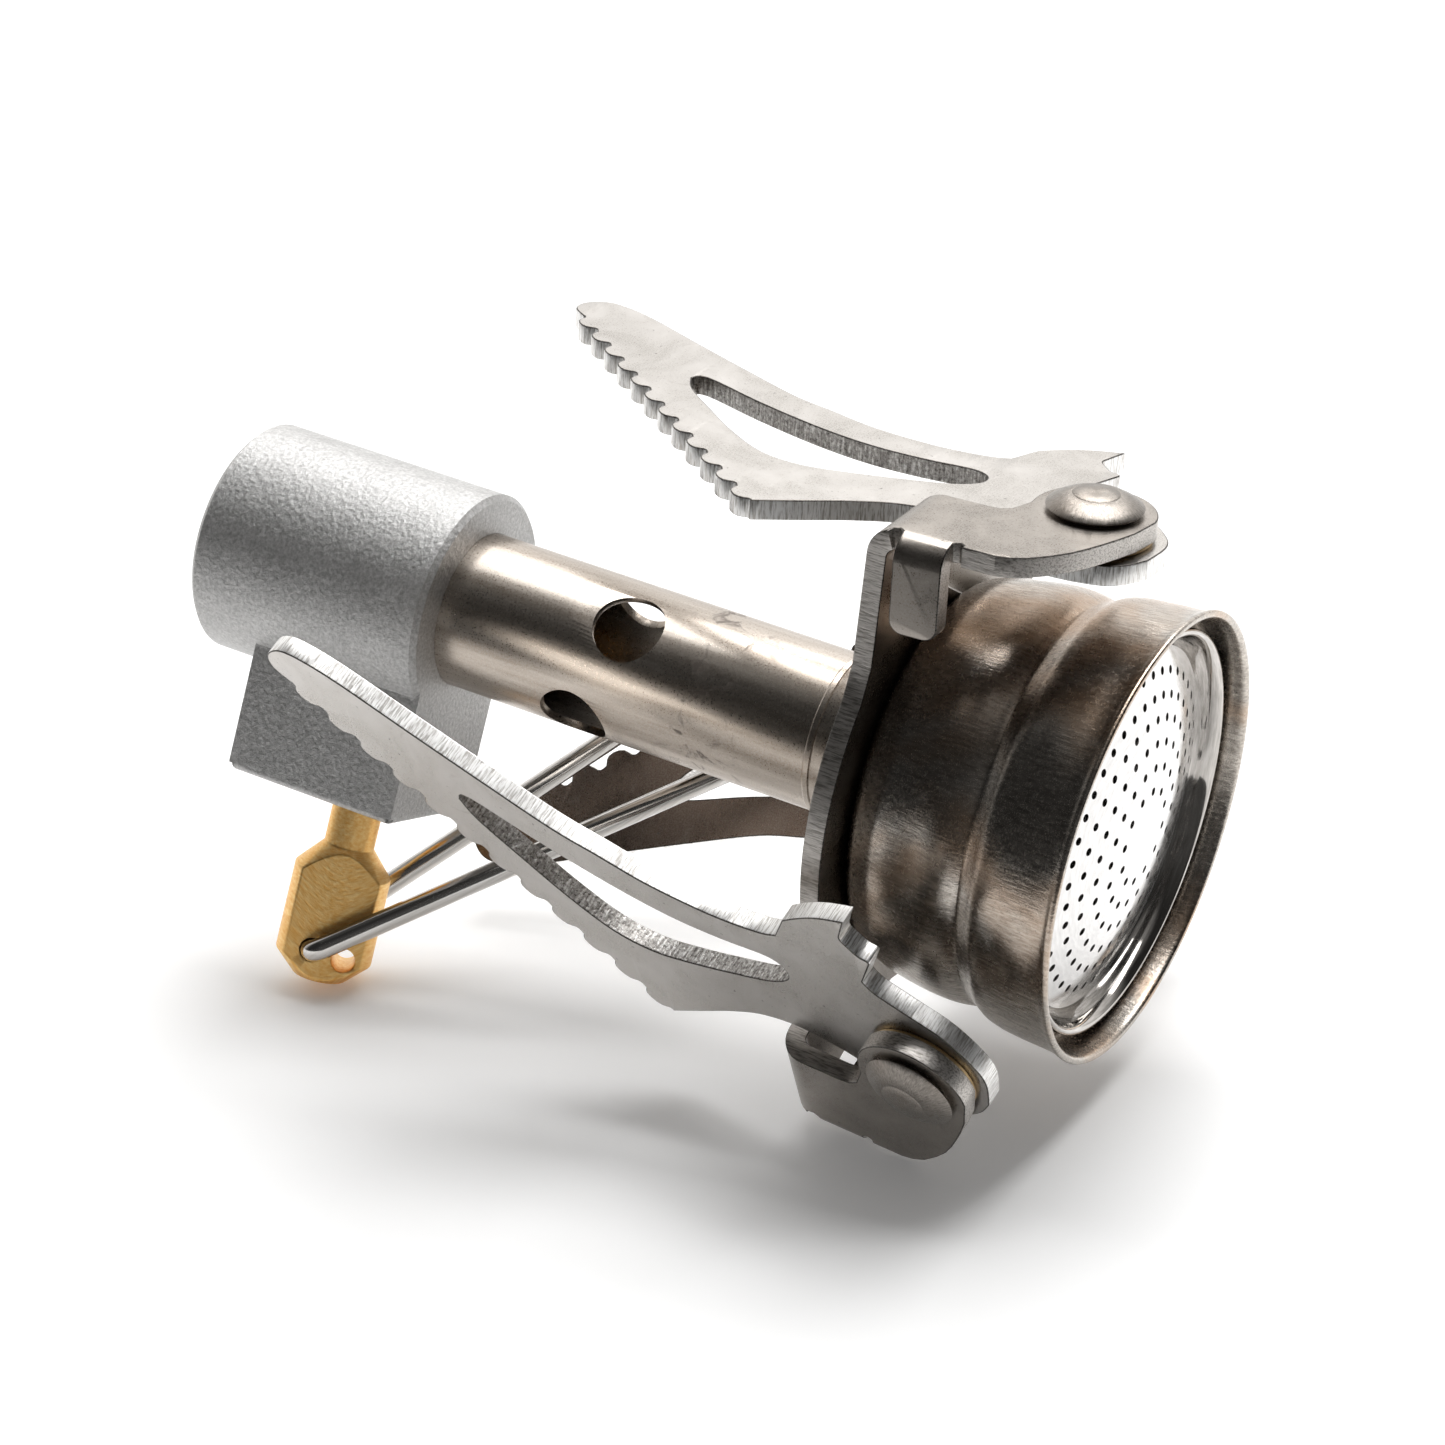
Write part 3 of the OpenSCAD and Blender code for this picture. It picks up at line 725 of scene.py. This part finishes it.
def build_neck():
    low, top = bottom_of("burner_neck"), top_of("burner_neck")
    line = [(5.2, low + 0.02), (5.3, low), (5.37, low + 0.1), (5.37, low + 0.42), (5.3, low + 0.5),
            (5.34, low + 0.6), (5.34, top - 0.6), (7.1, top - 0.6), (7.2, top - 0.5), (7.2, top - 0.1),
            (7.1, top), (4.85, top),
            (4.85, low + 0.02)]
    mesh = lathe(line, 160)
    smooth(mesh, 30)
    add_piece("neck_sleeve", mesh, "stove_frame", ["burner_neck"], (MAT["tube"],))


def cutter(radius, length, matrix):
    bm = bmesh.new()
    bmesh.ops.create_cone(bm, cap_ends=True, segments=96, radius1=radius, radius2=radius, depth=length)
    mesh = bpy.data.meshes.new("cutter")
    bm.to_mesh(mesh)
    bm.free()
    mesh.transform(matrix)
    obj = bpy.data.objects.new("cutter", mesh)
    bpy.context.scene.collection.objects.link(obj)
    return obj


def drilled(mesh, cutters, bevel=0.0):
    """The mesh with cylinders cut out of it, and its sharp edges eased."""
    obj = bpy.data.objects.new("drilled", mesh)
    bpy.context.scene.collection.objects.link(obj)
    for c in cutters:
        m = obj.modifiers.new("hole", "BOOLEAN")
        m.object = c
        m.operation = "DIFFERENCE"
        m.solver = "EXACT"
    if bevel:
        b = obj.modifiers.new("ease", "BEVEL")
        b.width = bevel
        b.segments = 2
        b.limit_method = "ANGLE"
        b.angle_limit = math.radians(40)
        b.use_clamp_overlap = True
    dg = bpy.context.evaluated_depsgraph_get()
    dg.update()
    made = bpy.data.meshes.new_from_object(obj.evaluated_get(dg))
    for o in [obj] + cutters:
        bpy.data.objects.remove(o)
    return made


def build_tube():
    low, top = bottom_of("mixing_tube"), top_of("mixing_tube")
    collar = bottom_of("burner_neck")
    line = [(4.7, low), (5.2, low), (5.2, 20), (5.2, 26), (5.2, 32), (5.2, 38), (5.2, collar - 0.05),
            (4.85, collar), (4.85, top), (4.45, top), (4.45, collar - 1),
            (4.7, collar - 1.2), (4.7, 38), (4.7, 26)]
    holes = []
    for azimuth, z in AIR_HOLES:
        turn = Matrix.Rotation(math.radians(azimuth), 4, "Z")
        turn = turn @ Matrix.Rotation(math.radians(90), 4, "Y")
        holes.append(cutter(AIR_HOLE_R, 14, Matrix.Translation((0, 0, z)) @ turn))
    mesh = drilled(lathe(line, 128), holes, 0.07)
    smooth(mesh, 32)
    obj = add_piece("air_tube", mesh, "stove_frame", ["mixing_tube"], (MAT["tube"],))
    weigh_normals(obj)


def build_spindle():
    j = JOINTS["handle_swing"]
    flat = -Vector(j["axis"])
    axis_z = JOINTS["spindle_turn"]["pos_m"][2] / MM
    # Local frame: z along the spindle, x out of a milled flat
    z = Vector((1, 0, 0))
    m = Matrix((flat, z.cross(flat), z)).transposed().to_4x4()
    m.translation = Vector((0, 0, axis_z))
    line = [(0, 0.9), (0.1, 0.9), (0.8, 3.0), (0.8, 6.4), (2.4, 6.5), (2.4, 10.4), (1.69, 10.4), (1.69, 11.9),
            (2.4, 11.9), (2.4, 12.2), (1.69, 12.2), (1.69, 17.9), (3.25, 19.7), (3.25, 25.7), (1.75, 27.2),
            (1.6, 27.2), (0, 27.2)]
    bm = bmesh.new()
    bm.from_mesh(lathe(line, 96, closed=False))
    for side in (1, -1):
        everything = bm.verts[:] + bm.edges[:] + bm.faces[:]
        cut = bmesh.ops.bisect_plane(bm, geom=everything, plane_co=(HEAD_HALF * side, 0, 0),
                                     plane_no=(side, 0, 0), clear_outer=True, dist=1e-5)
        loop = [e for e in cut["geom_cut"] if isinstance(e, bmesh.types.BMEdge)]
        bmesh.ops.holes_fill(bm, edges=[e for e in loop if e.is_boundary])
    bmesh.ops.recalc_face_normals(bm, faces=bm.faces)
    mesh = bpy.data.meshes.new("spindle")
    bm.to_mesh(mesh)
    bm.free()
    pivot = m.inverted() @ Vector([v / MM for v in j["pos_m"]])
    holes = []
    # The second hole is across the head, on the side that the handle folds to
    up = (m.inverted().to_3x3() @ Vector((0, 0, 1))).y
    for dz, dy in CROSS_HOLES:
        at = Vector((0, pivot.y + dy * math.copysign(1, up), pivot.z + dz))
        turn = Matrix.Rotation(math.radians(90), 4, "Y")
        holes.append(cutter(CROSS_R, 8, Matrix.Translation(at) @ turn))
    mesh = drilled(mesh, holes, 0.09)
    smooth(mesh, 32)
    obj = add_piece("brass_spindle", mesh, "spindle", ["valve_spindle"], (MAT["brass"],), m)
    weigh_normals(obj)


def build_handle():
    j = JOINTS["handle_swing"]
    n = -Vector(j["axis"])
    pivot = Vector([v / MM for v in j["pos_m"]])
    x = Vector((1, 0, 0))
    m = n.cross(x)
    side, length, bend, corner_bend = LEG_SIDE, LEG_LENGTH, WIRE_BEND, END_BEND
    fold, spread = math.radians(LEG_FOLD), math.radians(LEG_SPREAD)

    def ray(angle):
        return x * math.cos(angle) + m * math.sin(angle)

    near, far = ray(fold - spread), ray(fold + spread)
    a = [pivot, pivot + n * side, pivot + n * side + near * length]
    b = [pivot - n * side + far * length, pivot - n * side, pivot]
    path = [pivot]
    corners = [a[1], a[2], b[0], b[1]]
    stops = [pivot] + corners + [pivot]
    for k, c in enumerate(corners):
        path += arc_corner(stops[k], c, stops[k + 2], bend if k in (0, 3) else corner_bend)
    path.append(pivot + n * 0.001)
    mesh = tube_along(path, WIRE_R, 32)
    smooth(mesh, 40)
    add_piece("wire_bail", mesh, "handle", ["wire_handle"], (MAT["wire"],))


def bracket_blank():
    """The flat blank: a disc with three legs, as far as their ears and stops.  Legs run along +x."""
    reach = reach_of_plate()
    bend = bend_length()
    ear = reach + bend - BEND_Z
    stop_len = STOP_BEND_Y + stop_bend_length() + STOP_REACH
    hinge_t = hinge_offset()

    def leg(v, u):
        return (ear + v, hinge_t + u)

    r = PLATE_R
    y0, y1 = hinge_t + LEG_Y0, hinge_t + LEG_Y1
    a0 = math.degrees(math.asin(y0 / r))
    a1 = math.degrees(math.asin(y1 / r))
    # Up the near side of the leg, and round the ear
    points = [(math.sqrt(r * r - y0 * y0) + 0.9, y0)]
    points += [leg(-5.6, LEG_Y0), leg(-4.85, LEG_Y0 - 0.1), leg(-4.25, LEG_Y0 - 0.55),
               leg(-3.95, 1.6), leg(-3.75, 1.0)]
    points += [leg(EAR_R * math.sin(math.radians(q)), EAR_R * math.cos(math.radians(q)))
               for q in range(-88, -270, -7)]
    points += [leg(3.45, 1.75), leg(3.05, 3.0), leg(2.6, 4.2), leg(2.1, 5.4), leg(1.5, 6.6), leg(0.7, 7.7),
               leg(-0.3, 8.8),
               leg(-1.2, 9.35), leg(-2.0, LEG_Y1)]
    # A relief notch, the stop with its rounded end, and the second notch
    points += [leg(STOP_Z1 + 0.75, LEG_Y1), leg(STOP_Z1 + 0.7, LEG_Y1 - 0.35),
               leg(STOP_Z1 + 0.4, LEG_Y1 - 0.55), leg(STOP_Z1 + 0.05, LEG_Y1 - 0.35), leg(STOP_Z1, LEG_Y1)]
    corner = 0.9
    points += [leg(STOP_Z1 - corner + corner * math.cos(q), stop_len - corner + corner * math.sin(q))
               for q in (math.radians(k) for k in range(0, 91, 15))]
    points += [leg(STOP_Z0 + corner - corner * math.sin(q), stop_len - corner + corner * math.cos(q))
               for q in (math.radians(k) for k in range(0, 91, 15))]
    points += [leg(STOP_Z0, LEG_Y1), leg(STOP_Z0 - 0.05, LEG_Y1 - 0.35), leg(STOP_Z0 - 0.35, LEG_Y1 - 0.5),
               leg(STOP_Z0 - 0.65, LEG_Y1 - 0.3), leg(STOP_Z0 - 0.75, LEG_Y1)]
    points += [(reach, y1), (math.sqrt(r * r - y1 * y1) + 1.2, y1)]
    points += [(r * math.cos(math.radians(q)), r * math.sin(math.radians(q)))
               for q in np.arange(a1 + 5, 120 + a0 - 1.5, 3)]
    whole = []
    for k in range(3):
        c, s = math.cos(math.radians(120 * k)), math.sin(math.radians(120 * k))
        whole += [(c * p[0] - s * p[1], s * p[0] + c * p[1]) for p in points]
    holes = [circle(0, 0, COLLAR_R, 96)]
    for k in range(3):
        c, s = math.cos(math.radians(120 * k)), math.sin(math.radians(120 * k))
        x, y = leg(0, 0)
        holes.append(circle(c * x - s * y, s * x + c * y, PIN_R + 0.01))
    return whole, holes


def hinge_offset():
    """How far the hinges stand aside from the radial line."""
    f = hinge_frame(1)
    radial = Vector((f.col[0].x, f.col[0].y, 0)).normalized()
    across = Vector((-radial.y, radial.x, 0))
    return f.translation.dot(across)


def reach_of_plate():
    """Radius where the legs' bends start."""
    f = hinge_frame(1)
    radial = Vector((f.col[0].x, f.col[0].y, 0)).normalized()
    lean_x = (TAB_X - BEND_IN) * math.cos(LEAN) + BEND_Z * math.sin(LEAN)
    return f.translation.dot(radial) + lean_x


def bend_length():
    return (BEND_IN + SHEET / 2) * (math.pi / 2 - LEAN)


def stop_bend_length():
    return (STOP_BEND_IN + SHEET / 2) * math.pi / 2


def score(bm, chosen, across, distance):
    """Cuts the chosen faces along a plane, so that the sheet can bend there."""
    faces = [f for f in bm.faces if chosen(f)]
    edges = [e for f in faces for e in f.edges]
    verts = [v for f in faces for v in f.verts]
    parts = list(dict.fromkeys(faces + edges + verts))
    bmesh.ops.bisect_plane(bm, geom=parts, plane_co=across * distance, plane_no=across, dist=1e-5)


def build_bracket():
    outline, holes = bracket_blank()
    mesh = stamped(outline, holes, SHEET, BRACKET_EASE)
    split_edges(mesh)
    base = bottom_of("pot_bracket")
    reach, bend, hinge_t = reach_of_plate(), bend_length(), hinge_offset()
    stop_bend = stop_bend_length()
    first = hinge_frame(1)
    azimuth = math.atan2(first.col[0].y, first.col[0].x)
    bm = bmesh.new()
    bm.from_mesh(mesh)
    # Extra cuts where the sheet bends
    for k in range(3):
        turn = Matrix.Rotation(math.radians(120 * k), 4, "Z")
        out, across = turn @ Vector((1, 0, 0)), turn @ Vector((0, 1, 0))

        def near(e):
            q = sum((v.co for v in e.verts), Vector()) / len(e.verts)
            return q.dot(out) > 12 and abs(q.dot(across)) < 20

        for n in range(9):
            score(bm, near, out, reach + bend * n / 8)
        for n in range(7):
            score(bm, near, across, hinge_t + STOP_BEND_Y + stop_bend * n / 6)
    for v in bm.verts:
        depth = SHEET / 2 - v.co.z
        for k in range(3):
            turn = Matrix.Rotation(math.radians(120 * k), 4, "Z")
            p = turn.inverted() @ v.co
            if p.x <= reach or p.y < hinge_t - 6:
                continue
            s = p.x - reach
            if s < bend:
                a = s / bend * (math.pi / 2 - LEAN)
                r = BEND_IN + depth
                q = Vector((reach + r * math.sin(a), p.y, SHEET / 2 + BEND_IN - r * math.cos(a)))
                v.co = turn @ q
                break
            x, y, z = TAB_X + depth, p.y - hinge_t, BEND_Z + s - bend
            if y > STOP_BEND_Y and z < STOP_Z1 + 0.3:
                e = y - STOP_BEND_Y
                r = STOP_BEND_IN + depth
                a = min(e / stop_bend, 1) * math.pi / 2
                x = TAB_X - STOP_BEND_IN + r * math.cos(a) - max(e - stop_bend, 0)
                y = STOP_BEND_Y + r * math.sin(a)
            hinge = Matrix.Rotation(-azimuth, 4, "Z") @ first
            q = hinge @ Vector((x, y, z))
            q.z -= base + SHEET / 2
            v.co = turn @ q
            break
    bmesh.ops.recalc_face_normals(bm, faces=bm.faces)
    bm.to_mesh(mesh)
    bm.free()
    smooth(mesh, 38)
    place = Matrix.Translation((0, 0, base + SHEET / 2)) @ Matrix.Rotation(azimuth, 4, "Z")
    obj = add_piece("pot_support", mesh, "stove_frame", ["pot_bracket"],
                    (MAT["bracket"], MAT["edge"], MAT["painted_edge_shade"]), place, in_row=True)
    weigh_normals(obj)


for i in (1, 2, 3):
    build_arm(i)
    build_rivet(i)
    build_washer(i)
build_cup()
build_mouth_ring()
build_neck()
build_tube()
build_bracket()
build_spindle()
build_handle()
for node, key in (("valve_body", "body"), ("flame_plate", "plate"), ("jet", "brass"),
                  ("spindle_gland", "brass"), ("depressor_pin", "steel"),
                  ("canister_o_ring", "rubber"), ("spindle_o_ring", "rubber")):
    paint_cad(node, MAT[key])


# ---------------------------------------------------------------- stage

# The stove lies on its side: this is straight up, and the floor's distance below the origin
UP = Vector((-0.933, -0.330, -0.147)).normalized()
FLOOR_DROP = 27.79
# The white sheet reaches this far in front of the stove; its radius
FLOOR_FRONT = 86
FLOOR_R = 620
FLOOR_GLOW = 0.13
# The camera's line of sight, the picture's right along the floor, and away from the camera
LOOK = Vector((0.1969, 0.9003, -0.3881))
RIGHT = LOOK.cross(UP).normalized()
AWAY = UP.cross(RIGHT).normalized()


def build_floor():
    bm = bmesh.new()
    bmesh.ops.create_circle(bm, cap_ends=True, segments=96, radius=FLOOR_R * MM)
    mesh = bpy.data.meshes.new("floor")
    bm.to_mesh(mesh)
    bm.free()
    obj = bpy.data.objects.new("floor", mesh)
    bpy.context.scene.collection.objects.link(obj)
    middle = AWAY * (FLOOR_R - FLOOR_FRONT) - UP * (FLOOR_DROP + 0.05)
    obj.matrix_world = Matrix.Translation(middle * MM) @ UP.to_track_quat("Z", "Y").to_matrix().to_4x4()
    s = Shader("floor_white")
    soft = s.noise(s.place, 3, 2, 0.5)
    s.finish(s.mix(soft, (0.94, 0.94, 0.94), (0.97, 0.97, 0.97)), 0.6, metallic=0.0)
    s.plug(s.bsdf, Emission_Color=(1.0, 1.0, 1.0, 1.0), Emission_Strength=FLOOR_GLOW)
    clear = s.node("ShaderNodeBsdfTransparent")
    choose = s.node("ShaderNodeMixShader")
    back = s.node("ShaderNodeNewGeometry").outputs["Backfacing"]
    out = s.tree.nodes["Material Output"]
    s.tree.links.new(back, choose.inputs[0])
    s.tree.links.new(s.bsdf.outputs[0], choose.inputs[1])
    s.tree.links.new(clear.outputs[0], choose.inputs[2])
    s.tree.links.new(choose.outputs[0], out.inputs["Surface"])
    mesh.materials.append(s.mat)


def soft_box(name, direction, distance, width, height, power, aim=(3, 0, 35)):
    light = bpy.data.lights.new(name, "AREA")
    light.shape = "RECTANGLE"
    light.size, light.size_y = width, height
    light.energy = power
    obj = bpy.data.objects.new(name, light)
    bpy.context.scene.collection.objects.link(obj)
    d = Vector(direction).normalized()
    obj.location = Vector(aim) * MM + d * distance
    obj.rotation_mode = "QUATERNION"
    obj.rotation_quaternion = d.to_track_quat("Z", "Y")


CAMERA_AT = Vector((-54.395, -256.944, 147.069))
CAMERA_TURN = (math.radians(-37.6213), math.radians(-60.6579), math.radians(119.1446))
LENS = 111.45


def build_camera():
    cam = bpy.data.cameras.new("camera")
    cam.sensor_width = 36
    cam.lens = LENS
    cam.clip_start, cam.clip_end = 0.01, 10
    obj = bpy.data.objects.new("camera", cam)
    bpy.context.scene.collection.objects.link(obj)
    obj.location = CAMERA_AT * MM
    obj.rotation_euler = CAMERA_TURN
    bpy.context.scene.camera = obj



# Light from everywhere in the dark room
ROOM = 0.03


def build_world():
    """A bright back wall and ceiling, and a dark room behind the camera."""
    world = bpy.data.worlds.new("studio")
    bpy.context.scene.world = world
    world.use_nodes = True
    tree = world.node_tree
    shade = tree.nodes["Background"]
    place = tree.nodes.new("ShaderNodeTexCoord").outputs["Generated"]

    def facing(direction, low, high, power):
        dot = tree.nodes.new("ShaderNodeVectorMath")
        dot.operation = "DOT_PRODUCT"
        dot.inputs[1].default_value = direction
        tree.links.new(place, dot.inputs[0])
        fade = tree.nodes.new("ShaderNodeMapRange")
        fade.interpolation_type = "SMOOTHSTEP"
        fade.inputs["From Min"].default_value = low
        fade.inputs["From Max"].default_value = high
        fade.inputs["To Max"].default_value = power
        tree.links.new(dot.outputs["Value"], fade.inputs["Value"])
        return fade.outputs["Result"]

    parts = [facing(AWAY, 0.1, 0.85, 1.2), facing(UP, 0.8, 1.0, 0.3), facing(-AWAY, 0.5, 1.0, 0.05)]
    total = ROOM
    for part in parts:
        add = tree.nodes.new("ShaderNodeMath")
        if isinstance(total, float):
            add.inputs[0].default_value = total
        else:
            tree.links.new(total, add.inputs[0])
        tree.links.new(part, add.inputs[1])
        total = add.outputs[0]
    tree.links.new(total, shade.inputs["Strength"])
    shade.inputs["Color"].default_value = (1.0, 0.99, 0.975, 1)


def build_light():
    soft_box("key", UP * 1.0 + RIGHT * 0.26 + AWAY * 0.34, 0.5, 0.39, 0.39, 3.3)
    build_world()


build_floor()
build_camera()
build_light()
bpy.context.scene.view_settings.view_transform = "Standard"
